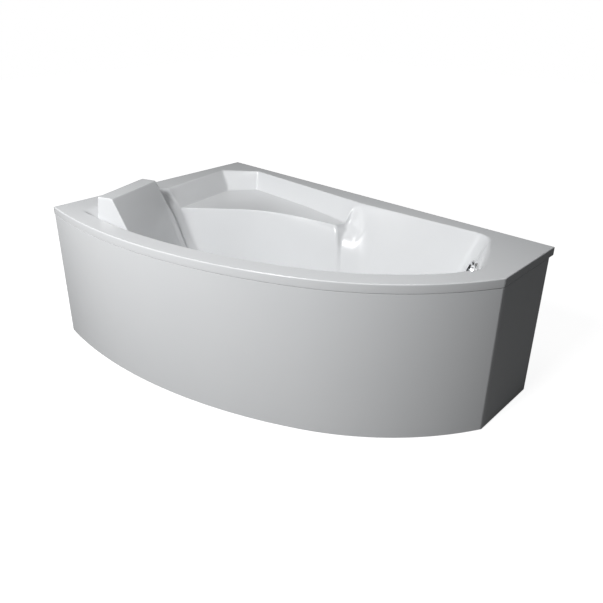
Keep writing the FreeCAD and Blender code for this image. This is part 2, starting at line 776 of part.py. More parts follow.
lip_in = size.shell_wall + size.seat_gap
behind_tongue = size.shell_wall + size.tongue_gap + size.apron_tongue_wall
right_in = behind_tongue + size.tongue_gap / 2
under_deck = size.rim_height - size.shell_wall
batten_z = under_deck - size.batten_height
back_start = lip_in + size.batten_width + size.seat_gap
back_run = size.overall_length - back_start - right_in - size.batten_width - size.seat_gap
box("rim_batten_back", across(back_start), back(lip_in + size.batten_width),
    batten_z, back_run, size.batten_width, size.batten_height)
left_run = size.overall_depth - lip_in - size.left_batten_stop
box("rim_batten_left", across(lip_in), back(lip_in + left_run), batten_z,
    size.batten_width, left_run, size.batten_height)
right_run = size.side_depth - lip_in - size.right_batten_stop
box("rim_batten_right", across(size.overall_length - right_in - size.batten_width),
    back(lip_in + right_run), batten_z, size.batten_width, right_run, size.batten_height)

BLOCK_HEADINGS = (-2, 12, 26, 42)


def along_bow(heading, inset):
    """Place things against the bow: X runs along it, Y points into the bath."""
    place = front_point(heading, inset)
    return Placement(place, Rotation(UP, math.degrees(heading)))


def bow_group(label, solid_at):
    solids = [solid_at(along_bow(radians(turn), 0)) for turn in BLOCK_HEADINGS]
    return shape(label, Part.makeCompound(solids))


def block_at(place):
    long = float(size.block_length)
    start = Vector(-long / 2, float(behind_tongue + size.seat_gap), float(batten_z))
    block = Part.makeBox(long, float(size.batten_width), float(size.batten_height), start)
    return block.transformed(place.toMatrix())


bow_group("apron_blocks", block_at)


def clip_at(place):
    """A spring strip under a block, bent up between it and the tongue."""
    wide = float(size.clip_width)
    wall = float(size.clip_wall)
    outer = float(behind_tongue + size.seat_gap) - wall - 0.2
    start = Vector(-wide / 2, outer, float(batten_z) - wall)
    flat = Part.makeBox(wide, float(size.clip_reach), wall, start)
    leaf = Part.makeBox(wide, wall, float(size.clip_leaf), start)
    return flat.fuse(leaf).transformed(place.toMatrix())


bow_group("apron_clips", clip_at)


def board_solid():
    """The stiffening board bonded under the floor, stopped short of the drain."""
    top = float(size.floor_rise - size.shell_wall)
    low = top - float(size.board_thickness)
    outline = well_outline(float(well_depth), -float(size.board_margin), low)
    board = Part.Face(outline).extrude(Vector(0, 0, float(size.board_thickness)))
    end = float(drain_spot()[0] - size.drain_clear)
    long = float(size.overall_length)
    beyond = Part.makeBox(long, 2 * long, long, Vector(end, -long, 0))
    board = board.cut(beyond)
    for x, y in bar_screw_spots():
        board = board.cut(rod(size.screw_radius, Vector(x, y, low), UP, size.screw_length))
    return board


# ---------------------------------------------------------------- legs
BARS = [
    ("head", size.head_bar_x, size.head_bar_back, size.overall_depth - size.head_bar_front),
    ("foot", size.overall_length - size.foot_bar_x, size.foot_bar_back,
     size.side_depth + (size.overall_depth - size.side_depth) * size.foot_bar_share),
]
bar_top = size.floor_rise - size.shell_wall - size.board_thickness


def bar_screw_spots():
    spots = []
    for name, x, rear, front in BARS:
        middle = (rear + front) / 2
        for step in (-0.5, 0.5):
            for side in (-1, 1):
                y = back(middle + step * size.screw_pitch)
                spots.append((float(across(x) + side * size.bar_width / 4), float(y)))
    return spots


shape("base_board", board_solid())


def channel(label, x, rear, front):
    """A steel channel, open below, with a hole for the stud near each end."""
    half = size.bar_width / 2
    tall = size.bar_height
    wall = size.bar_wall
    profile = [(-half, -tall), (-half, 0), (half, 0), (half, -tall),
               (half - wall, -tall), (half - wall, -wall), (wall - half, -wall), (wall - half, -tall)]
    span = front - rear
    bar = padded(label, profile, span + 2 * size.bar_end, "XZ_Plane", True)
    hole = size.stud_radius + size.stud_clearance
    holes = [(0, span / 2, hole), (0, -span / 2, hole)]
    for step in (-0.5, 0.5):
        for side in (-1, 1):
            holes.append((side * size.bar_width / 4, step * size.screw_pitch, size.screw_radius))
    bored(bar, holes)
    return put(bar, across(x), back((rear + front) / 2), bar_top)


for name, x, rear, front in BARS:
    channel("leg_bar_" + name, x, rear, front)


def bar_screws():
    """Pan-head screws up through the channels into the board."""
    low = float(bar_top - size.bar_wall)
    solids = []
    for x, y in bar_screw_spots():
        start = Vector(x, y, low)
        shank = rod(size.screw_radius, start, UP, size.screw_length)
        solids.append(shank.fuse(rod(size.screw_head, start, -UP, size.screw_rise)))
    return Part.makeCompound(solids)


shape("bar_screws", bar_screws())


def hexagon(flats):
    """Corners of a hexagon from its width across flats."""
    side = flats / math.sqrt(3)
    half = side / 2
    flat = flats / 2
    return [(side, 0), (half, flat), (-half, flat), (-side, 0), (-half, -flat), (half, -flat)]


FEET = []
for name, x, rear, front in BARS:
    FEET.append((name + "_back", across(x), back(rear)))
    FEET.append((name + "_front", across(x), back(front)))


def lock_nuts():
    """A nut above and below the channel on every stud."""
    flats = float(size.nut_flats)
    tall = float(size.nut_height)
    corners = [Vector(a, b, 0) for a, b in hexagon(flats)]
    face = Part.Face(Part.makePolygon(corners + corners[:1]))
    bore = Part.makeCylinder(float(size.stud_radius + size.running_gap), tall)
    nut = face.extrude(Vector(0, 0, tall)).cut(bore)
    solids = []
    for name, x, y in FEET:
        for z in (bar_top, bar_top - size.bar_wall - size.nut_height):
            solids.append(nut.translated(Vector(float(x), float(y), float(z))))
    return Part.makeCompound(solids)


shape("lock_nuts", lock_nuts())

for name, x, y in FEET:
    radius = size.stud_radius
    tip = bar_top + size.stud_above
    stud = turned("stud_" + name, [
        (0, size.pad_base), (radius, size.pad_base), (radius, tip - size.stud_bevel),
        (radius - size.stud_bevel, tip), (0, tip)])
    put(stud, x, y, 0)
    pad = turned("foot_pad_" + name, [
        (0, 0), (size.pad_radius - size.stud_bevel, 0), (size.pad_radius, size.stud_bevel),
        (size.pad_radius, size.pad_edge), (size.pad_radius / 2, size.pad_shoulder),
        (size.pad_radius / 2, size.pad_height), (radius, size.pad_height),
        (radius, size.pad_base), (0, size.pad_base)])
    put(pad, x, y, 0)


# ---------------------------------------------------------------- fixings
def wall_bracket_places():
    """Two on the long wall and one on the short wall, each with its outward turn."""
    long_wall = float(size.overall_depth) / 2
    left = -float(size.overall_length) / 2
    return [
        Placement(Vector(float(across(size.bracket_first)), long_wall, 0), Rotation(UP, 180)),
        Placement(Vector(float(across(size.bracket_second)), long_wall, 0), Rotation(UP, 180)),
        Placement(Vector(left, float(back(size.bracket_side)), 0), Rotation(UP, -90)),
    ]


def wall_bracket():
    """A steel angle: one leaf screwed under the batten, one on the wall below the lip."""
    wide = float(size.bracket_width)
    wall = float(size.bracket_wall)
    top = float(batten_z)
    drop = float(size.bracket_drop)
    reach = float(lip_in + size.batten_width)
    leaf = Part.makeBox(wide, reach, wall, Vector(-wide / 2, 0, top - wall))
    wall_leaf = Part.makeBox(wide, wall, drop, Vector(-wide / 2, 0, top - drop))
    angle = leaf.fuse(wall_leaf)
    level = top - drop + float(size.bracket_hole_rise)
    for side in (-0.5, 0.5):
        spot_x = side * float(size.bracket_pitch)
        hole = rod(size.bracket_hole, Vector(spot_x, -1, level), Vector(0, 1, 0), wall + 2)
        start = Vector(spot_x, reach - float(size.bracket_setback), top - 2 * wall)
        screw = rod(size.screw_radius, start, UP, 3 * wall)
        angle = angle.cut([hole, screw])
    return angle


def bracket_screw():
    """The screws of one bracket, up into the batten."""
    reach = float(lip_in + size.batten_width)
    low = float(batten_z) - float(size.bracket_wall)
    solids = []
    for side in (-0.5, 0.5):
        start = Vector(side * float(size.bracket_pitch), reach - float(size.bracket_setback), low)
        shank = rod(size.screw_radius, start, UP, float(size.bracket_wall))
        solids.append(shank.fuse(rod(size.screw_head, start, -UP, size.screw_rise)))
    return Part.makeCompound(solids)


def at_brackets(label, solid):
    """The same piece at all three brackets."""
    copies = [solid.transformed(place.toMatrix()) for place in wall_bracket_places()]
    return shape(label, Part.makeCompound(copies))


at_brackets("wall_brackets", wall_bracket())
at_brackets("bracket_screws", bracket_screw())


def apron_strut(x, front):
    """A steel strip welded under a channel's front end and turned down against the apron."""
    wide = float(size.strut_width)
    wall = float(size.bracket_wall)
    leaf = float(size.strut_leaf)
    centre = float(across(x))
    inset = float(size.apron_inset + size.apron_wall)
    touch = front_point(heading_at(centre, inset), inset)
    rear = float(back(front + size.bar_end - size.strut_overlap))
    top = float(bar_top - size.bar_height)
    corner = Vector(centre - wide / 2, touch.y - leaf, top)
    strip = Part.makeBox(wide, rear - corner.y, wall, corner - UP * wall)
    down = Part.makeBox(wide, 2 * leaf, leaf, corner - UP * leaf)
    inside = slab(outer_face(inset), 0, top)
    skin = inside.cut(slab(outer_face(inset + wall), -1, top + 1))
    return strip.common(inside).fuse(down.common(skin))


shape("apron_struts", Part.makeCompound([apron_strut(x, front) for name, x, rear, front in BARS]))

# ---------------------------------------------------------------- waste
drain_x, drain_y = drain_spot()
floor_top = size.floor_rise
seat_top = size.gasket_rise
neck_low = -size.shell_wall - size.gasket_under - size.neck_length
hub_low = neck_low + size.hub_start
hub_bore = size.spindle_radius + size.running_gap
plug_low = seat_top + size.plug_gap


def at_drain(thing, z=floor_top):
    return put(thing, drain_x, drain_y, z)


at_drain(turned("drain_gasket_top", ring_profile(
    size.drain_hole, size.flange_radius - 2, 0, seat_top)))
at_drain(turned("drain_flange", [
    (size.neck_bore, neck_low), (size.neck_radius, neck_low), (size.neck_radius, seat_top),
    (size.flange_radius, seat_top), (size.flange_radius, seat_top + 1),
    (size.flange_radius - size.flange_rise, seat_top + size.flange_rise),
    (size.plug_radius + 1.5, seat_top + size.flange_rise), (size.plug_radius - 1, seat_top + 1),
    (size.neck_bore, seat_top + 1)]))


def strainer_solid():
    """A hub on four arms inside the flange's neck."""
    low = Vector(float(drain_x), float(drain_y), float(floor_top + hub_low))
    reach = float(size.neck_bore)
    wide = float(size.strainer_arm)
    tall = float(size.strainer_rise)
    hub = rod(size.hub_radius, low, UP, size.hub_rise)
    one = Part.makeBox(2 * reach, wide, tall, low - Vector(reach, wide / 2, 0))
    two = Part.makeBox(wide, 2 * reach, tall, low - Vector(wide / 2, reach, 0))
    solid = hub.fuse([one, two]).common(rod(reach, low, UP, size.neck_length))
    return solid.cut(rod(hub_bore, low, UP, size.neck_length))


shape("drain_strainer", strainer_solid())
at_drain(turned("drain_plug", [
    (0, plug_low), (size.plug_radius - 3, plug_low), (size.plug_radius - 0.5, plug_low + 1.5),
    (size.plug_radius - 0.5, plug_low + 2.5), (size.plug_radius - 4, plug_low + size.plug_rise - 1),
    (0, plug_low + size.plug_rise)]))
at_drain(turned("plug_seal", ring_profile(
    size.neck_bore - 3, size.neck_bore - size.seal_gap, plug_low - size.seal_drop, plug_low)))
tail = hub_low - size.spindle_tail
at_drain(turned("plug_spindle", [
    (0, tail), (size.spindle_radius, tail), (size.spindle_radius, plug_low - 1),
    (size.spindle_radius + 3, plug_low - 1), (size.spindle_radius + 3, plug_low), (0, plug_low)]))
under = -size.shell_wall
cup_top = under - size.gasket_under
cup_low = cup_top - size.cup_height
cup_floor = floor_top + cup_low
at_drain(turned("drain_gasket_bottom", ring_profile(
    size.neck_radius + 0.5, size.cup_radius + size.cup_lip, cup_top, under)))


def pipe_route():
    """Down from the overflow's elbow, round one bend and level to the waste body.

    Gives the top, both ends of the bend with its middle, the end and the level direction."""
    seat, look = overflow_axis()
    head = seat - look * (float(size.elbow_depth) * 0.6 + size.elbow_wall.value * 2)
    x, y = float(drain_x), float(drain_y)
    level = float(cup_floor + size.socket_rise)
    run = Vector(x - head.x, y - head.y, 0).normalize()
    bend = float(size.pipe_bend)
    top = Vector(head.x, head.y, head.z - float(size.elbow_radius + size.pipe_start))
    corner = Vector(head.x, head.y, level)
    into = corner + UP * bend
    out = corner + run * bend
    middle = corner + (UP + run) * bend - (UP + run).normalize() * bend
    end = Vector(x, y, level) - run * float(size.cup_radius + size.socket_length)
    return top, into, middle, out, end, run


def waste_body():
    """A plastic cup under the floor: a spigot below, and a side socket for the overflow."""
    base = Vector(float(drain_x), float(drain_y), float(cup_floor))
    thick = float(size.cup_wall)
    tall = float(size.cup_height)
    lip_rise = float(size.cup_lip_rise)
    lip = rod(size.cup_radius + size.cup_lip, base + UP * (tall - lip_rise), UP, lip_rise)
    outlet = rod(size.spigot_radius, base - UP * float(size.spigot_length), UP, size.spigot_length + 1)
    end, run = pipe_route()[4:]
    reach = size.cup_radius + size.socket_length
    socket = rod(size.pipe_radius, end, run, reach)
    body = rod(size.cup_radius, base, UP, tall).fuse([lip, outlet, socket])
    room = rod(float(size.cup_radius) - thick, base + UP * thick, UP, tall)
    hole = rod(size.pipe_radius - size.pipe_wall, end - run, run, reach)
    low = base - UP * float(size.spigot_length + 1)
    bore = rod(size.spigot_radius - size.spigot_wall, low, UP, size.spigot_length + 2 * size.cup_wall)
    return body.cut([room, hole, bore])


shape("drain_body", waste_body())
trap_top = cup_floor - size.trap_drop
trap_low = trap_top - size.trap_height
outlet_level = trap_low + size.outlet_rise
slip_bore = size.spigot_radius + size.slip_gap
socket_end = size.trap_radius + size.trap_socket


def trap_solid():
    """A cup round the spigot's end, with the outlet socket towards the long wall."""
    base = Vector(float(drain_x), float(drain_y), float(trap_low))
    thick = float(size.trap_wall)
    way = Vector(0, 1, 0)
    level = Vector(base.x, base.y, float(outlet_level))
    outer = rod(size.trap_radius, base, UP, size.trap_height)
    socket = rod(size.spigot_radius + size.spigot_wall, level, way, socket_end)
    room = rod(float(size.trap_radius) - thick, base + UP * thick, UP, size.trap_height - 2 * thick)
    bore = rod(size.spigot_radius, level, way, socket_end + 1)
    opening = rod(size.trap_opening, base - UP, UP, thick + 1)
    neck = rod(slip_bore, base, UP, size.trap_height + 1)
    return outer.fuse(socket).cut([room, bore, opening, neck])


shape("trap_body", trap_solid())
plug_side = size.trap_opening - size.slip_gap
cap = turned("trap_cap", [
    (0, -size.cap_rise), (size.cap_radius - size.cap_bevel, -size.cap_rise),
    (size.cap_radius, size.cap_bevel - size.cap_rise), (size.cap_radius, 0), (plug_side, 0),
    (plug_side, size.cap_plug), (0, size.cap_plug)])
put(cap, drain_x, drain_y, trap_low)
nut_side = size.spigot_radius + size.nut_grip
nut = turned("trap_nut", [
    (slip_bore, 0), (nut_side, 0), (nut_side, 7), (size.spigot_radius + 3, 9), (slip_bore, 9)])
put(nut, drain_x, drain_y, trap_top)
pipe_bore = size.spigot_radius - size.spigot_wall
pipe_side = size.spigot_radius - size.slip_gap
pipe_end = size.trap_radius + size.outlet_start
shoulder = size.outlet_length - size.outlet_free
pipe = turned("outlet_pipe", [
    (pipe_bore, pipe_end), (pipe_side - size.outlet_relief, pipe_end),
    (pipe_side - size.outlet_relief, shoulder), (pipe_side, shoulder),
    (pipe_side, size.outlet_length), (pipe_bore, size.outlet_length)])
outlet_nut = turned("outlet_nut", ring_profile(
    size.spigot_radius - 0.2, nut_side, socket_end, socket_end + size.nut_length))
for thing in (pipe, outlet_nut):
    thing.Placement = Placement(Vector(0, 0, 0), Rotation(Vector(1, 0, 0), -90))
    put(thing, drain_x, drain_y, outlet_level)


# ---------------------------------------------------------------- overflow
def on_overflow(solid):
    """Turn a part drawn along +Z so that +Z looks out of the shell's seat into the well."""
    seat, look = overflow_axis()
    return solid.transformed(Placement(seat, Rotation(UP, look)).toMatrix())


def on_axis(radius, low, high):
    """A cylinder on the overflow's own axis, before it is turned."""
    low, high = float(low), float(high)
    return Part.makeCylinder(float(radius), high - low, Vector(0, 0, low))


def overflow_ring():
    """A bright domed ring with a dark mouth and a bar for its screw."""
    radius = float(size.rosette_radius)
    rise = float(size.rosette_rise)
    mouth = float(size.rosette_mouth)
    wide = float(size.bridge_width)
    disc = Part.makeCone(radius, radius - float(size.ring_lean), rise)
    disc = disc.cut(on_axis(mouth, -1, rise + 1))
    bar = Part.makeBox(2 * mouth + 2, wide, float(size.bridge_rise), Vector(-mouth - 1, -wide / 2, 0))
    hub = on_axis(size.bridge_hub, 0, size.bridge_rise)
    return disc.fuse([bar, hub]).cut(on_axis(size.overflow_screw + 0.2, -1, rise))


seal_back = -size.shell_wall - size.overflow_gap - size.overflow_seal


def overflow_body():
    """The plastic cup behind the shell, its screw post and the socket that points down."""
    thick = size.elbow_wall
    foot = seal_back - size.elbow_depth
    cup_part = on_overflow(on_axis(size.elbow_radius, foot, seal_back))
    room = on_overflow(on_axis(size.elbow_radius - thick, foot + thick, seal_back))
    post = on_overflow(on_axis(size.post_radius, foot, seal_back - 1))
    bore = on_overflow(on_axis(size.overflow_screw + 0.1, foot + size.post_stop, seal_back))
    top = pipe_route()[0]
    reach = size.elbow_radius + size.pipe_start
    socket = rod(size.pipe_radius, top, UP, reach)
    hole = rod(size.pipe_radius - size.pipe_wall, top - UP, UP, reach)
    return cup_part.fuse(socket).cut(room).fuse(post).cut([hole, bore])


def overflow_gasket():
    """A flat rubber ring between the shell and the overflow's body."""
    ring = on_axis(size.elbow_radius, seal_back, seal_back + size.overflow_seal)
    return ring.cut(on_axis(size.overflow_hole, seal_back - 1, 0))


def overflow_screw():
    """One long screw from the ring's bar into the body's post."""
    seat = size.bridge_rise
    head = on_axis(size.post_radius, seat, seat + size.screw_cap)
    return head.fuse(on_axis(size.overflow_screw, -size.screw_stop, seat))


shape("overflow_ring", on_overflow(overflow_ring()))
shape("overflow_gasket", on_overflow(overflow_gasket()))
shape("overflow_body", overflow_body())
shape("overflow_screw", on_overflow(overflow_screw()))


def overflow_pipe():
    """A round pipe along a straight run, one bend and another run."""
    start, into, middle, out, end = pipe_route()[:5]
    edges = [Part.LineSegment(start, into).toShape(), Part.Arc(into, middle, out).toShape(),
             Part.LineSegment(out, end).toShape()]
    path = Part.Wire(edges)
    rings = []
    for radius in (size.pipe_radius, size.pipe_radius - size.pipe_wall):
        ring = Part.Wire(Part.makeCircle(float(radius), start, into - start))
        rings.append(path.makePipeShell([ring], True, False))
    return rings[0].cut(rings[1])


def union_nut(centre, look):
    """A nut over the end of the pipe and of its socket."""
    radius = size.pipe_radius
    start = centre - look * float(size.pipe_nut_length / 2)
    nut = rod(radius + size.pipe_nut_grip, start, look, size.pipe_nut_length)
    return nut.cut(rod(radius + size.slip_gap, start, look, size.pipe_nut_length))


shape("overflow_pipe", overflow_pipe())
shape("overflow_nut_top", union_nut(pipe_route()[0], UP))
shape("overflow_nut_bottom", union_nut(pipe_route()[4], pipe_route()[5]))


# ---------------------------------------------------------------- check and write
doc.recompute()
for thing in doc.Objects:
    if "Invalid" in thing.State or "Error" in thing.State:
        raise RuntimeError("%s has failed: %s" % (thing.Label, thing.State))
os.makedirs("parts", exist_ok=True)
for part in parts:
    solid = part.Shape
    if solid.isNull() or not solid.isValid() or not solid.Solids:
        raise RuntimeError("%s has no valid solid" % part.Label)
    solid.exportStep("parts/%s.step" % part.Label)
    print("%-24s %2d solids %9.1f cm3" % (part.Label, len(solid.Solids), solid.Volume / 1000))
print(len(parts), "sub-parts")
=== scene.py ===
# Corner bathtub of white acrylic, seen from above its free corner on a plain white ground.
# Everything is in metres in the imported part's own frame: floor at Z 0, long wall at +Y 0.5,
# head end at -X 0.8.  Plan sizes in the sections below are millimetres from the left wall line
# (x) and from the long wall (d), as such a bath is measured when it is fitted.
import json
import math

import bpy
import numpy as np
from mathutils import Matrix, Vector


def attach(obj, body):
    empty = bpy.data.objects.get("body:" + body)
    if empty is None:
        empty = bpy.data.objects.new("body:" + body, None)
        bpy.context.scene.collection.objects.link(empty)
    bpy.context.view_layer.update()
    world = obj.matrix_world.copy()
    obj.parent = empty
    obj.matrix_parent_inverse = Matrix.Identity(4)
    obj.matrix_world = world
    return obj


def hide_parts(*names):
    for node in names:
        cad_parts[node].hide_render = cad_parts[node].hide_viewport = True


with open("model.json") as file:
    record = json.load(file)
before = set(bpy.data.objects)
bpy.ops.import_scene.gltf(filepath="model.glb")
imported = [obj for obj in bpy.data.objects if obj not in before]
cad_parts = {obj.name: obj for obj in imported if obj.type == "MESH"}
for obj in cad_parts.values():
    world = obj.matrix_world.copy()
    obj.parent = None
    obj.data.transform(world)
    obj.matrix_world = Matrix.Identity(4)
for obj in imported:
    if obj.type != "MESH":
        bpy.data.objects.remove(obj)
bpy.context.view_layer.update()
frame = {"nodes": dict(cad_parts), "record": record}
nodes = frame["nodes"]
scene = bpy.context.scene

# ---------------------------------------------------------------- camera
# The photograph's viewpoint: 44 degrees round from the front towards the foot end, 24 above level.
azimuth, elevation = math.radians(44.47), math.radians(24.47)
back = Vector((math.sin(azimuth) * math.cos(elevation),
               -math.cos(azimuth) * math.cos(elevation), math.sin(elevation)))
right = Vector((math.cos(azimuth), math.sin(azimuth), 0))
camera = bpy.data.objects.new("camera", bpy.data.cameras.new("camera"))
scene.collection.objects.link(camera)
camera.matrix_world = Matrix.Translation((1.498, -1.516, 1.355)) @ Matrix(
    (right, back.cross(right), back)).transposed().to_4x4()
camera.data.sensor_width = 36
camera.data.lens = 36.96
camera.data.shift_x = 0.0305
camera.data.shift_y = -0.0517
scene.camera = camera

# ---------------------------------------------------------------- studio
# One large soft lamp in front, a small one close to the head end's corner, another over the foot
# end that looks at the head rest, a faint fill from above, and a white ground.
scene.view_settings.view_transform = "Standard"
for name, place, aim, wide, watts in (
        ("key", (0.3, -2.8, 2.6), (0.1, -0.1, 0.3), 1.2, 107.0),
        ("near", (-0.95, -1.2, 1.25), (-0.6, -0.45, 0.5), 0.6, 3.8),
        ("foot", (0.74, 0.0, 1.5), (-0.6, -0.2, 0.5), 0.5, 1.6),
        ("fill", (-0.2, 0.0, 2.6), (-0.2, 0.0, 0.3), 1.4, 5.0)):
    lamp = bpy.data.objects.new(name, bpy.data.lights.new(name, "AREA"))
    lamp.data.shape = "DISK"
    lamp.data.size = wide
    lamp.data.energy = watts
    lamp.location = place
    lamp.rotation_euler = (Vector(aim) - Vector(place)).to_track_quat("-Z", "Y").to_euler()
    scene.collection.objects.link(lamp)

# the world: white to camera and transmission rays, a faint cool room to all others
world = bpy.data.worlds.new("world")
scene.world = world
world.use_nodes = True
tree = world.node_tree
tree.nodes.clear()
rays = tree.nodes.new("ShaderNodeLightPath")
room = tree.nodes.new("ShaderNodeBackground")
room.inputs["Color"].default_value = (0.97, 0.985, 1.0, 1)
room.inputs["Strength"].default_value = 0.09
white = tree.nodes.new("ShaderNodeBackground")
white.inputs["Color"].default_value = (1, 1, 1, 1)
seen = tree.nodes.new("ShaderNodeMath")
seen.operation = "MAXIMUM"
pick = tree.nodes.new("ShaderNodeMixShader")
out = tree.nodes.new("ShaderNodeOutputWorld")
tree.links.new(rays.outputs["Is Camera Ray"], seen.inputs[0])
tree.links.new(rays.outputs["Is Transmission Ray"], seen.inputs[1])
tree.links.new(seen.outputs[0], pick.inputs["Fac"])
tree.links.new(room.outputs[0], pick.inputs[1])
tree.links.new(white.outputs[0], pick.inputs[2])
tree.links.new(pick.outputs[0], out.inputs["Surface"])

# the ground: to the camera a glow plus the lamps' light, so that it is white but keeps the
# shadow; to other rays dim paper, so that it throws little light back at the object
floor_mesh = bpy.data.meshes.new("ground")
floor_mesh.from_pydata([(-9, -9, -0.001), (9, -9, -0.001), (9, 9, -0.001), (-9, 9, -0.001)],
                       [], [(0, 1, 2, 3)])
ground = bpy.data.objects.new("ground", floor_mesh)
scene.collection.objects.link(ground)
paper = bpy.data.materials.new("paper")
paper.use_nodes = True
tree = paper.node_tree
tree.nodes.clear()
rays = tree.nodes.new("ShaderNodeLightPath")
glow = tree.nodes.new("ShaderNodeEmission")
spot = tree.nodes.new("ShaderNodeTexCoord")
away = tree.nodes.new("ShaderNodeVectorMath")
away.operation = "LENGTH"
bright = tree.nodes.new("ShaderNodeMapRange")
for socket, value in (("From Min", 1.0), ("From Max", 3.6), ("To Min", 0.9), ("To Max", 1.0)):
    bright.inputs[socket].default_value = value
tree.links.new(spot.outputs["Object"], away.inputs[0])
tree.links.new(away.outputs["Value"], bright.inputs["Value"])
tree.links.new(bright.outputs["Result"], glow.inputs["Strength"])
sheet = tree.nodes.new("ShaderNodeBsdfDiffuse")
sheet.inputs["Color"].default_value = (0.45, 0.45, 0.45, 1)
lit = tree.nodes.new("ShaderNodeAddShader")
dim = tree.nodes.new("ShaderNodeBsdfDiffuse")
dim.inputs["Color"].default_value = (0.16, 0.16, 0.16, 1)
pick = tree.nodes.new("ShaderNodeMixShader")
out = tree.nodes.new("ShaderNodeOutputMaterial")
tree.links.new(glow.outputs[0], lit.inputs[0])
tree.links.new(sheet.outputs[0], lit.inputs[1])
tree.links.new(rays.outputs["Is Camera Ray"], pick.inputs["Fac"])
tree.links.new(dim.outputs[0], pick.inputs[1])
tree.links.new(lit.outputs[0], pick.inputs[2])
tree.links.new(pick.outputs[0], out.inputs["Surface"])
ground.data.materials.append(paper)

# ---------------------------------------------------------------- tub shell
# One vacuum-formed sheet of white acrylic: flat rim with a turned-down edge, the bather's well,
# and a shallow corner shelf for soap.  It hangs on the battens and rests on the base board.
# Its finish is a shader group that moulded pieces share, with a tint, a roughness and a height.


def effect(name, inputs, outputs):
    """A new node group with these sockets: (name, socket type, value) and (name, socket type)."""
    group = bpy.data.node_groups.new(name, "ShaderNodeTree")
    for socket, kind, value in inputs:
        made = group.interface.new_socket(socket, in_out="INPUT", socket_type=kind)
        if value is not None:
            made.default_value = value
    for socket, kind in outputs:
        group.interface.new_socket(socket, in_out="OUTPUT", socket_type=kind)
    return group, group.nodes.new("NodeGroupInput"), group.nodes.new("NodeGroupOutput")


def noise(tree, vector, scale, detail):
    """The value of a noise texture read at this vector."""
    made = tree.nodes.new("ShaderNodeTexNoise")
    made.inputs["Scale"].default_value = scale
    made.inputs["Detail"].default_value = detail
    tree.links.new(vector, made.inputs["Vector"])
    return made.outputs["Fac"]


def spread(tree, value, low, high):
    """A noise value from about 0.3 to 0.7 brought to the range from low to high."""
    made = tree.nodes.new("ShaderNodeMapRange")
    made.inputs["From Min"].default_value = 0.3
    made.inputs["From Max"].default_value = 0.7
    for socket, limit in (("To Min", low), ("To Max", high)):
        if isinstance(limit, (int, float)):
            made.inputs[socket].default_value = limit
        else:
            tree.links.new(limit, made.inputs[socket])
    tree.links.new(value, made.inputs["Value"])
    return made.outputs["Result"]


def blended(tree, fac, one, two):
    """The first colour where fac is 0, the second where it is 1, and a mix between."""
    made = tree.nodes.new("ShaderNodeMix")
    made.data_type = "RGBA"
    tree.links.new(fac, made.inputs["Factor"])
    tree.links.new(one, made.inputs["A"])
    tree.links.new(two, made.inputs["B"])
    return made.outputs["Result"]


RGBA, FLOAT, VECTOR = "NodeSocketColor", "NodeSocketFloat", "NodeSocketVector"
FINISH = [("Color", RGBA), ("Roughness", FLOAT), ("Height", FLOAT)]

# moulded surface: a cloudy tint, a slightly uneven gloss and a fine orange peel
moulded, given, made = effect("moulded", [
    ("Vector", VECTOR, None), ("Light", RGBA, None), ("Dark", RGBA, None),
    ("Smooth", FLOAT, 0.1), ("Rough", FLOAT, 0.2)], FINISH)
cloud = noise(moulded, given.outputs["Vector"], 3.0, 3)
peel = noise(moulded, given.outputs["Vector"], 260.0, 2)
moulded.links.new(blended(moulded, spread(moulded, cloud, 0, 1), given.outputs["Dark"],
                          given.outputs["Light"]), made.inputs["Color"])
moulded.links.new(spread(moulded, noise(moulded, given.outputs["Vector"], 11.0, 4),
                         given.outputs["Smooth"], given.outputs["Rough"]), made.inputs["Roughness"])
moulded.links.new(peel, made.inputs["Height"])


def material(name, group, light, dark, smooth=None, rough=None, bump=0.02, reach=0.001,
             metallic=0.0, coat=0.0, gleam=0.5, turn=(0, 0, 0)):
    """A Principled material whose colour, roughness and bump come from one effect group."""
    made = bpy.data.materials.new(name)
    made.use_nodes = True
    tree = made.node_tree
    shader = tree.nodes["Principled BSDF"]
    shader.inputs["Metallic"].default_value = metallic
    shader.inputs["Specular IOR Level"].default_value = gleam
    shader.inputs["Coat Weight"].default_value = coat
    shader.inputs["Coat Roughness"].default_value = 0.04
    places = tree.nodes.new("ShaderNodeTexCoord")
    turned = tree.nodes.new("ShaderNodeMapping")
    turned.inputs["Rotation"].default_value = turn
    tree.links.new(places.outputs["Object"], turned.inputs["Vector"])
    finish = tree.nodes.new("ShaderNodeGroup")
    finish.node_tree = group
    tree.links.new(turned.outputs[0], finish.inputs["Vector"])
    finish.inputs["Light"].default_value = (*light, 1)
    finish.inputs["Dark"].default_value = (*dark, 1)
    if smooth is not None:
        finish.inputs["Smooth"].default_value = smooth
        finish.inputs["Rough"].default_value = rough
    relief = tree.nodes.new("ShaderNodeBump")
    relief.inputs["Strength"].default_value = bump
    relief.inputs["Distance"].default_value = reach
    tree.links.new(finish.outputs["Height"], relief.inputs["Height"])
    tree.links.new(relief.outputs[0], shader.inputs["Normal"])
    tree.links.new(finish.outputs["Color"], shader.inputs["Base Color"])
    tree.links.new(finish.outputs["Roughness"], shader.inputs["Roughness"])
    return made


acrylic = material("acrylic", moulded, (0.745, 0.755, 0.765), (0.73, 0.742, 0.754),
                   smooth=0.2, rough=0.26, bump=0.012, coat=0.06, gleam=0.4)
LONG, DEEP, SIDE, RIM = 1600.0, 1000.0, 350.0, 565.0
LIP, WALL, EDGE = 31.0, 5.0, 4.0
WELL, SHELF = 430.0, 80.0
DRAIN = (1235.0, 345.0)
LEFT, MIDDLE, RIGHT = (math.radians(a) for a in (-8.3, 28.0, 61.0))


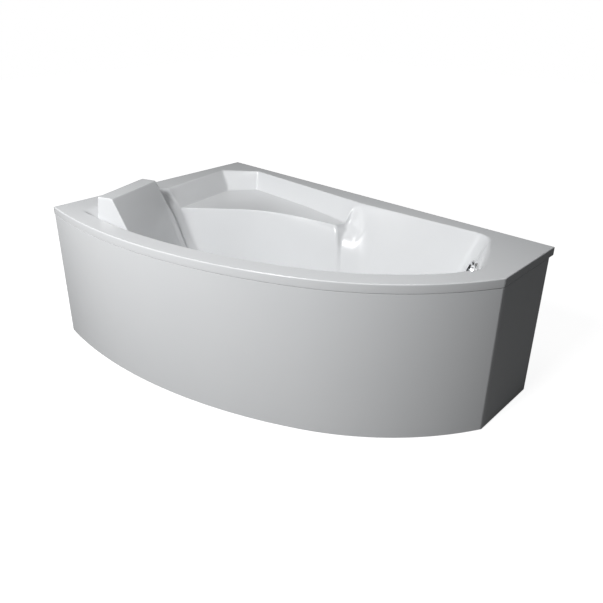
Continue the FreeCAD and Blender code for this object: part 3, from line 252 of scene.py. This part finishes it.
def bow_arcs():
    """The two tangent arcs of the front: (centre x, centre d, radius).

    Their radii solve two sums: both arcs' runs make the length, both rises the bow's depth."""
    a = math.sin(MIDDLE) - math.sin(LEFT)
    b = math.sin(RIGHT) - math.sin(MIDDLE)
    c = 1 - math.cos(MIDDLE)
    d = math.cos(MIDDLE) - math.cos(RIGHT)
    run, rise = LONG, DEEP - SIDE
    large = (run * d - rise * b) / (a * d - b * c)
    small = (rise * a - run * c) / (a * d - b * c)
    step = large - small
    one = (-large * math.sin(LEFT), DEEP - large, large)
    two = (one[0] + step * math.sin(MIDDLE), one[1] + step * math.cos(MIDDLE), small)
    return one, two


BOW = bow_arcs()


def bow_inset(x, d):
    """How far inside the bow: the arc's radius less the distance from its centre; each arc
    holds for its own share of headings."""
    (ax, ad, ar), (bx, bd, br) = BOW
    heading = np.arctan2(x - ax, d - ad)
    first = ar - np.hypot(x - ax, d - ad)
    second = br - np.hypot(x - bx, d - bd)
    return np.where(heading <= MIDDLE, first, second)


def lower(a, b, k):
    """The smaller of two depths, joined smoothly over a band of k: the smaller one less the
    square of what is left of k, over 4 k."""
    return np.minimum(a, b) - np.maximum(k - np.abs(a - b), 0) ** 2 / (4 * k)


def upper(a, b, k):
    """The larger of two depths, joined smoothly over a band of k."""
    return np.maximum(a, b) + np.maximum(k - np.abs(a - b), 0) ** 2 / (4 * k)


def ease(t):
    """0 below 0, 1 above 1, and a smooth cubic between."""
    t = np.clip(t, 0, 1)
    return t * t * (3 - 2 * t)


def fall(x, d, px, pd, nx, nd, slope):
    """Depth of a plane that starts on the line through (px, pd) and falls along (nx, nd), at
    slope degrees from upright."""
    return ((x - px) * nx + (d - pd) * nd) / np.tan(np.radians(slope))


# Walls: plan points where they start to fall, some with the plan direction of the fall, and their
# leans from upright in degrees.
FOOT_CORNER, HEAD_START, POCKET_CORNER = (1400, 60), (130, 189), (205, 50)
STEP_LINE = (823, 144, 0.976, 0.219)
LEDGE_LINES = (820, 178, 0.1608, 0.987), (464, 236, 0.6392, 0.769)
FOOT_LEAN, REAR_LEAN, STEP_LEAN, LEDGE_LEAN, FRONT_LEAN = 20, 21, 14, 11, 14
FRONT_RIM, CHAMFER = 73, 179.6
# The long wall beside the shelf's nose: depths at distances inside its line, read at several
# shifts and averaged, which rounds the table's corners.
SWELL_AWAY, SWELL_DEPTH = (-100, 0, 52, 103, 172, 604), (-154, 0, 80, 140, 430, 2660)
SWELL_SHIFTS = (-28, -21, -14, -7, 0, 7, 14, 21, 28)


def depth_at(x, d):
    """Depth below the rim at (x, d): the smallest of the walls' planes, limited by the floor,
    or the pocket's depth where that is larger; all joined with their own roundings."""
    foot = fall(x, d, *FOOT_CORNER, -0.9489, 0.3156, FOOT_LEAN)
    # the long wall: a plane, but beside the nose it swells out to meet the wall below the ledge
    away = (x - FOOT_CORNER[0]) * 0.05527 + (d - FOOT_CORNER[1]) * 0.99847
    swell = ease((970 - x) / 158)
    bulged = sum(np.interp(away + o, SWELL_AWAY, SWELL_DEPTH) for o in SWELL_SHIFTS) / len(SWELL_SHIFTS)
    rear = bulged * swell + away / math.tan(math.radians(REAR_LEAN)) * (1 - swell)
    step = SHELF + fall(x, d, *STEP_LINE, STEP_LEAN)
    ledge = lower(fall(x, d, *LEDGE_LINES[0], LEDGE_LEAN), fall(x, d, *LEDGE_LINES[1], LEDGE_LEAN), 367.0)
    # the head end is an S: steep under the rim, a soft ledge, then the sloped back rest
    run = (x - HEAD_START[0]) * 0.9874 - (d - HEAD_START[1]) * 0.1581
    shoulder = SHELF + (run - 10) / math.tan(math.radians(40))
    back_rest = lower(SHELF + (run - 12) / 0.333, 265 + (run - 91) / 0.85, 60.0)
    head = upper(shoulder, back_rest, 60.0)
    front = (bow_inset(x, d) - FRONT_RIM) / math.tan(math.radians(FRONT_LEAN))
    inner = upper(step, ledge, 50.0)
    walls = lower(lower(inner, rear, 30.0), foot, 160.0)
    walls = lower(walls, head, 60.0)
    walls = lower(walls, front, 130 + 60 * ease((x - 300) / 400))
    # rounding of the rim's inner edge: crisp along the front, soft at the foot and the head
    planes = np.stack([front, rear, foot, head, inner])
    soft = 6 + 84 * ease((d - 160) / 290)
    turns = np.stack([np.full_like(x, 12.0), np.full_like(x, 10.0),
                      20 + 60 * ease((d - 80) / 170), soft, np.full_like(x, 12.0)])
    share = np.exp(-np.clip(planes - planes.min(0), 0, 400) / 20)
    roll = (turns * share).sum(0) / share.sum(0)
    well = lower(upper(walls, 0.0, roll), WELL, 110.0)
    # corner pocket over the shelf: its back wall, then the wall cut across the corner
    corner_x, corner_d = POCKET_CORNER
    rim_here = corner_d + (x - corner_x) * 0.06126
    lean = 24 + 34 * (np.maximum(x - 480, 0) / 350) ** 2
    behind = (d - rim_here) * SHELF / lean
    across = np.clip(((corner_x - x) * 0.7906 + (d - corner_d) * 0.6125) / CHAMFER, 0, 1.2)
    cut = ((x - corner_x) * 0.6125 + (d - corner_d) * 0.7906) * SHELF / (26 + 45 * across)
    pocket = lower(behind, cut, 8.0)
    pocket = lower(pocket, head, 8.0)
    pocket = lower(pocket, SHELF + (880 - x) * 3, 8.0)
    pocket = lower(pocket, SHELF + (60 - (ledge - SHELF) * 0.194) * 6, 8.0)
    pocket = lower(upper(pocket, 0.0, 8.0), SHELF, 10.0)
    blend = 4 + 100 * ease((x - 420) / 400)
    blend = 0.4 + (blend - 0.4) * ease((np.minimum(well, pocket) - 5) / 50)
    return upper(well, pocket, blend)


SEAT = np.array([1437.0, 260.0, 511.0])
SEAT_REACH, SEAT_BAND = 47, 11
TURN, TILT = math.radians(33), math.radians(20)
LOOK = np.array([-math.cos(TURN) * math.cos(TILT), math.sin(TURN) * math.cos(TILT), math.sin(TILT)])


def height_at(x, d):
    """Height of the shell's top face; round the overflow it eases into a flat tilted seat."""
    z = RIM - depth_at(x, d)
    seat = SEAT[2] - (LOOK[0] * (x - SEAT[0]) + LOOK[1] * (d - SEAT[1])) / LOOK[2]
    away = np.sqrt((x - SEAT[0]) ** 2 + (d - SEAT[1]) ** 2 + (seat - SEAT[2]) ** 2)
    share = ease((SEAT_REACH - away) / SEAT_BAND)
    return z + (seat - z) * share


def facing(x, d, step):
    """Unit normals of the top face in (x, d, z), from height differences over step."""
    gx = (height_at(x + step, d) - height_at(x - step, d)) / (2 * step)
    gd = (height_at(x, d + step) - height_at(x, d - step)) / (2 * step)
    n = np.stack([-gx, -gd, np.ones_like(gx)], -1)
    return n / np.linalg.norm(n, axis=-1, keepdims=True)


def placed(x, d, z):
    """Plan millimetres to the part's own metres."""
    return np.stack([(x - LONG / 2) / 1000, (DEEP / 2 - d) / 1000, z / 1000], -1)


def bow_edge(headings):
    """Points of the bow at these headings, and their inward directions."""
    first = headings <= MIDDLE
    cx, cd, r = (np.where(first, a, b) for a, b in zip(*BOW))
    n = np.stack([-np.sin(headings), -np.cos(headings)], -1)
    return np.stack([cx, cd], -1) - n * r[:, None], n


def straight_edge(points, inward):
    """Points of a straight edge, each with the same inward direction."""
    spots = np.array(points, float)
    return spots, np.repeat(np.array([inward], float), len(spots), 0)


def joined_edges(pieces):
    """One closed outline from several edges: where two meet, the inward direction is the
    mitre of theirs, their sum over one plus their product."""
    spots, inward = [], []
    for i, (p, n) in enumerate(pieces):
        before = pieces[i - 1][1][-1]
        n = n.copy()
        n[0] = (before + n[0]) / (1 + before @ n[0])
        spots.append(p[:-1])
        inward.append(n[:-1])
    return np.concatenate(spots), np.concatenate(inward)


left_depth = bow_edge(np.array([LEFT]))[0][0, 1]
# headings for even steps along both arcs, whose lengths are radius times angle
first_arc = BOW[0][2] * (MIDDLE - LEFT)
second_arc = BOW[1][2] * (RIGHT - MIDDLE)
turning = np.interp(np.linspace(0, 1, 241), [0, first_arc / (first_arc + second_arc), 1],
                    [LEFT, MIDDLE, RIGHT])
along_back = np.concatenate([np.linspace(1600, 930, 70, False), np.linspace(930, 760, 60, False),
                             np.linspace(760, 0, 111)])
edges = [
    bow_edge(turning),
    straight_edge([(LONG, d) for d in np.linspace(SIDE, 0, 51)], (-1, 0)),
    straight_edge([(x, 0) for x in along_back], (0, 1)),
    straight_edge([(0, d) for d in np.linspace(0, left_depth, 131)], (1, 0)),
]
border, inward = joined_edges(edges)
count = len(border)
hub = np.array([760.0, 490.0])

# rows from the rim to the middle of the floor, closer together where the surface turns
start = border + inward * EDGE
dense = np.linspace(0, 1, 901)[None, :]
px = start[:, :1] + (hub[0] - start[:, :1]) * dense
pd = start[:, 1:] + (hub[1] - start[:, 1:]) * dense
pz = height_at(px, pd)
dr = np.hypot(np.diff(px, axis=1), np.diff(pd, axis=1))
dz = np.diff(pz, axis=1)
bend = np.abs(np.diff(np.arctan2(dz, dr), axis=1, prepend=0))
steps = np.hypot(dr, 0.35 * dz) + 60 * bend
reached = np.concatenate([np.zeros((count, 1)), np.cumsum(steps, 1)], 1)
reached /= reached[:, -1:]
reached = sum(np.roll(reached, s, 0) * w for s, w in ((-2, 1), (-1, 2), (0, 3), (1, 2), (2, 1))) / 9
TOP_ROWS = 88
wanted = np.linspace(0, 1, TOP_ROWS + 1)[:-1]
offset = 2.0 * np.arange(count)[:, None]
share = np.interp((wanted[None, :] + offset).ravel(), (reached + offset).ravel(),
                  np.repeat(dense, count, 0).ravel()).reshape(count, TOP_ROWS)
tx = start[:, :1] + (hub[0] - start[:, :1]) * share
td = start[:, 1:] + (hub[1] - start[:, 1:]) * share
top = np.stack([tx, td, height_at(tx, td)], -1)

# the turned-down edge, then the under side, one wall thickness below
quarter = np.linspace(0, math.pi / 2, 6)[1:]
rim_profile = [(EDGE - EDGE * math.sin(a), RIM - EDGE + EDGE * math.cos(a)) for a in quarter]
rim_profile += [(0, RIM - 16), (0, RIM - LIP + 1), (0.8, RIM - LIP), (WALL - 0.8, RIM - LIP),
                (WALL, RIM - LIP + 1), (WALL, RIM - WALL)]
sides = [np.concatenate([border + inward * e, np.full((count, 1), z)], 1) for e, z in rim_profile]
ux, ud = tx[:, 2::2], td[:, 2::2]
below = np.stack([ux, ud, height_at(ux, ud)], -1) - WALL * facing(ux, ud, 5.0)

rows = [top[:, i] for i in range(TOP_ROWS - 1, -1, -1)] + sides
rows += [below[:, i] for i in range(below.shape[1])]
rows = np.stack(rows)
hub_z = float(height_at(hub[:1], hub[1:])[0])
points = np.concatenate([rows.reshape(-1, 3), [[hub[0], hub[1], hub_z]], [[hub[0], hub[1], hub_z - WALL]]])
ring = np.arange(count)
after = (ring + 1) % count
level = np.arange(len(rows) - 1)[:, None] * count
quads = np.stack([level + ring, level + after, level + count + after, level + count + ring], -1)
quads = quads.reshape(-1, 4)[:, ::-1]
last = (len(rows) - 1) * count
fans = np.concatenate([
    np.stack([ring, after, np.full(count, len(points) - 2)], -1),
    np.stack([last + after, last + ring, np.full(count, len(points) - 1)], -1)])


def mesh_object(name, spots, faces, smooth=True):
    """A mesh piece at the origin, from points in metres and faces of any size."""
    mesh = bpy.data.meshes.new(name)
    mesh.from_pydata(spots.tolist(), [], faces)
    mesh.validate()
    mesh.shade_smooth() if smooth else mesh.shade_flat()
    made = bpy.data.objects.new(name, mesh)
    scene.collection.objects.link(made)
    return made


shell = mesh_object("tub_shell_formed", placed(points[:, 0], points[:, 1], points[:, 2]),
                    quads.tolist() + fans.tolist())

# the drain's hole in the floor and the overflow's hole through its seat, radii in metres
DRAIN_BORE, OVERFLOW_BORE = 0.027, 0.022
drain_place = Vector(placed(DRAIN[0], DRAIN[1], RIM - WELL))
seat_place = Vector(placed(*SEAT))
seat_look = Vector((LOOK[0], -LOOK[1], LOOK[2]))
for place, look, radius in ((drain_place, Vector((0, 0, 1)), DRAIN_BORE),
                            (seat_place, seat_look, OVERFLOW_BORE)):
    bpy.ops.mesh.primitive_cylinder_add(vertices=64, radius=radius, depth=0.03, location=place,
                                        rotation=look.to_track_quat("Z", "Y").to_euler())
    cutter = bpy.context.object
    hole = shell.modifiers.new("hole", "BOOLEAN")
    hole.operation = "DIFFERENCE"
    hole.object = cutter
    hole.solver = "MANIFOLD"
    bored = bpy.data.meshes.new_from_object(shell.evaluated_get(bpy.context.evaluated_depsgraph_get()))
    shell.modifiers.clear()
    shell.data = bored
    bpy.data.objects.remove(cutter)
even = shell.modifiers.new("even shading", "WEIGHTED_NORMAL")
even.weight = 80
shell.data.materials.clear()
shell.data.materials.append(acrylic)
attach(shell, "tub")
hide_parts("tub_shell")

# ---------------------------------------------------------------- head rest
# A raised wedge at the head end, formed in the same sheet: its front face runs on into the back
# rest without a crease, its other faces stand nearly upright.
REST_TOP, REST_WIDE, REST_LONG, REST_TURN = 627.0, 68.0, 277.0, math.radians(19)
REST_PLACE, REST_SOLE = (190, 886), 3.0
steep = math.tan(math.radians(86))
a_spots = np.concatenate([np.linspace(-26, 14, 41)[:-1], np.linspace(14, 58, 12)[:-1],
                          np.linspace(58, 80, 20)[:-1], np.linspace(80, 290, 60)])
b_spots = np.concatenate([np.linspace(-26, 12, 39)[:-1], np.linspace(12, 265, 40)[:-1],
                          np.linspace(265, 303, 39)])
a, b = np.meshgrid(a_spots, b_spots, indexing="ij")
rx = REST_PLACE[0] + a * math.cos(REST_TURN) - b * math.sin(REST_TURN)
rd = REST_PLACE[1] - a * math.sin(REST_TURN) - b * math.cos(REST_TURN)
base = height_at(rx, rd)
# its face to the well stands at 60 degrees at the front end and at 70 at the back
slope = np.tan(np.radians(60 + 10 * np.clip(b / REST_LONG, 0, 1)))
rest = lower(REST_TOP + a * steep, REST_TOP - (a - REST_WIDE) * slope, 9.0)
rest = lower(rest, REST_TOP + b * steep, 9.0)
rest = lower(rest, REST_TOP - (b - REST_LONG) * math.tan(math.radians(80)), 9.0)
rest = lower(rest, REST_TOP, 7.0)
fade = 16 + 64 * ease((560 - base) / 150) * ease((a - 40) / 60)
lift = upper(base, rest, fade) - base
# where the rest hasn't risen yet its skin lies 0.95 mm under the shell's face, so it comes out
# of the shell along a clean line
crown = base + lift - 0.05 - 0.9 * np.exp(-lift / 0.15)
sole = base - REST_SOLE
tall, wide = a.shape
upper_side = np.stack([rx, rd, crown], -1).reshape(-1, 3)
lower_side = np.stack([rx, rd, sole], -1).reshape(-1, 3)
cell = (np.arange(tall - 1)[:, None] * wide + np.arange(wide - 1)).ravel()
grid = np.stack([cell, cell + wide, cell + wide + 1, cell + 1], -1)
size_of = tall * wide
loop = np.concatenate([np.arange(wide - 1), np.arange(tall - 1) * wide + wide - 1,
                       (tall - 1) * wide + np.arange(wide - 1, 0, -1), np.arange(tall - 1, 0, -1) * wide])
beyond = np.roll(loop, -1)
skirt = np.stack([loop, beyond, beyond + size_of, loop + size_of], -1)
spots = np.concatenate([upper_side, lower_side])
head_rest = mesh_object("head_rest_formed", placed(spots[:, 0], spots[:, 1], spots[:, 2]),
                        grid.tolist() + (grid[:, ::-1] + size_of).tolist() + skirt.tolist())
head_rest.data.materials.append(acrylic)
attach(head_rest, "tub")
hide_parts("tub_shell")

# ---------------------------------------------------------------- apron
# One bent acrylic sheet round the bow and the foot side.  Its stepped-back tongue slips behind
# the rim's lip and is held there by spring clips; a dark line shows between the two.
INSET, SHEET, SEAM, RETURN = 1.0, 4.0, 1.5, 45.0
TONGUE_OUT, TONGUE_IN, HEM, WALL_GAP = 6, 9, 21, 30.0
step_z = RIM - LIP - SEAM
tongue_z = RIM - LIP + 15
apron_profile = [
    (INSET + 0.6, 2), (INSET, 2.8), (INSET, step_z - 1.2), (INSET + 0.35, step_z - 0.35),
    (INSET + 1.2, step_z), (TONGUE_OUT, step_z), (TONGUE_OUT, tongue_z - 0.5),
    (TONGUE_OUT + 0.5, tongue_z), (TONGUE_IN - 0.5, tongue_z), (TONGUE_IN, tongue_z - 0.5),
    (TONGUE_IN, step_z - 14), (INSET + SHEET, step_z - 14),
    (INSET + SHEET, 5), (HEM, 5), (HEM, 2)]
path = [
    straight_edge([(0, left_depth - RETURN), (0, left_depth - 22), (0, left_depth)], (1, 0)),
    bow_edge(turning),
    straight_edge([(LONG, d) for d in np.linspace(SIDE, WALL_GAP, 17)], (-1, 0)),
]
joint, mitre = joined_edges(path)
mitre[0] = (1, 0)
joint = np.concatenate([joint, [[LONG, WALL_GAP]]])
mitre = np.concatenate([mitre, [[-1.0, 0.0]]])
ribs = np.stack([np.concatenate([joint + mitre * e, np.full((len(joint), 1), z)], 1)
                 for e, z in apron_profile])
turns, stations = ribs.shape[:2]
cell = np.arange(turns)[:, None] * stations + np.arange(stations - 1)
ahead = ((np.arange(turns) + 1) % turns)[:, None] * stations + np.arange(stations - 1)
walls = np.stack([cell, cell + 1, ahead + 1, ahead], -1).reshape(-1, 4)
ends = [(np.arange(turns) * stations).tolist(), (np.arange(turns) * stations + stations - 1).tolist()[::-1]]
spots = ribs.reshape(-1, 3)
apron = mesh_object("apron_formed", placed(spots[:, 0], spots[:, 1], spots[:, 2]), walls.tolist() + ends)
even = apron.modifiers.new("even shading", "WEIGHTED_NORMAL")
even.weight = 80
apron.data.set_sharp_from_angle(angle=math.radians(35))
even.keep_sharp = True
apron.data.materials.append(acrylic)
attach(apron, "tub")
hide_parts("apron_panel")

# ---------------------------------------------------------------- timber
# Softwood battens glued under the rim, blocks for the apron's clips, and the particle board
# bonded under the floor with resin.
# timber: long growth lines along the vector's X, with pores
grained, given, made = effect("grained", [
    ("Vector", VECTOR, None), ("Light", RGBA, None), ("Dark", RGBA, None)], FINISH)
stretch = grained.nodes.new("ShaderNodeMapping")
stretch.inputs["Scale"].default_value = (1.2, 24, 24)
grained.links.new(given.outputs["Vector"], stretch.inputs["Vector"])
lines = grained.nodes.new("ShaderNodeTexWave")
lines.wave_type = "BANDS"
lines.bands_direction = "DIAGONAL"
lines.inputs["Scale"].default_value = 2.6
lines.inputs["Distortion"].default_value = 5.0
lines.inputs["Detail"].default_value = 3.0
grained.links.new(stretch.outputs[0], lines.inputs["Vector"])
pores = noise(grained, stretch.outputs[0], 14.0, 5)
grained.links.new(blended(grained, lines.outputs["Fac"], given.outputs["Light"],
                          given.outputs["Dark"]), made.inputs["Color"])
grained.links.new(spread(grained, pores, 0.55, 0.8), made.inputs["Roughness"])
grained.links.new(pores, made.inputs["Height"])

pine = material("pine", grained, (0.63, 0.45, 0.25), (0.48, 0.31, 0.15), bump=0.15)
pine_across = material("pine across", grained, (0.63, 0.45, 0.25), (0.48, 0.31, 0.15), bump=0.15,
                       turn=(0, 0, math.radians(90)))
board = material("particle board", moulded, (0.5, 0.37, 0.22), (0.38, 0.27, 0.15),
                 smooth=0.6, rough=0.85, bump=0.4)

# ---------------------------------------------------------------- steel, plastic and rubber
# Zinc-plated channels, studs, nuts and screws, spring steel clips, chromed trim, and moulded pads,
# seals, waste and trap, which are screwed together below the bath.
# metal: a fine noise in its height, an uneven gloss and a little spangle
drawn, given, made = effect("drawn", [
    ("Vector", VECTOR, None), ("Light", RGBA, None), ("Dark", RGBA, None),
    ("Smooth", FLOAT, 0.2), ("Rough", FLOAT, 0.4)], FINISH)
spangle = noise(drawn, given.outputs["Vector"], 90.0, 4)
drawn.links.new(blended(drawn, spread(drawn, spangle, 0, 1), given.outputs["Dark"],
                        given.outputs["Light"]), made.inputs["Color"])
drawn.links.new(spread(drawn, noise(drawn, given.outputs["Vector"], 37.0, 5),
                       given.outputs["Smooth"], given.outputs["Rough"]), made.inputs["Roughness"])
drawn.links.new(noise(drawn, given.outputs["Vector"], 420.0, 2), made.inputs["Height"])

zinc = material("zinc plate", drawn, (0.66, 0.68, 0.7), (0.5, 0.52, 0.54), 0.22, 0.42,
                bump=0.03, metallic=1.0)
spring = material("spring steel", drawn, (0.4, 0.42, 0.45), (0.28, 0.29, 0.31), 0.25, 0.4,
                  bump=0.03, metallic=1.0)
chrome = material("chrome", drawn, (0.8, 0.81, 0.82), (0.74, 0.75, 0.77), 0.2, 0.26,
                  bump=0.004, metallic=1.0)
pad_black = material("black pad", moulded, (0.035, 0.035, 0.036), (0.02, 0.02, 0.021),
                     0.45, 0.65, bump=0.1)
rubber = material("black rubber", moulded, (0.03, 0.03, 0.03), (0.018, 0.018, 0.018),
                  0.6, 0.8, bump=0.1)
white_plastic = material("white plastic", moulded, (0.76, 0.76, 0.73), (0.72, 0.72, 0.69),
                         0.3, 0.42, bump=0.05)
grey_plastic = material("grey pipe", moulded, (0.34, 0.35, 0.36), (0.29, 0.3, 0.31),
                        0.35, 0.5, bump=0.06)
finishes = {
    "acrylic": acrylic, "timber": pine, "chipboard": board, "zinc_steel": zinc,
    "spring_steel": spring, "pad_black": pad_black, "rubber_black": rubber, "chrome": chrome,
    "plastic_white": white_plastic, "plastic_grey": grey_plastic}
for entry in frame["record"]["subparts"]:
    node = nodes[entry["node"]]
    node.data.materials.clear()
    node.data.materials.append(finishes[entry["material_slot"]])
for name in ("rim_batten_left", "rim_batten_right"):
    nodes[name].data.materials[0] = pine_across
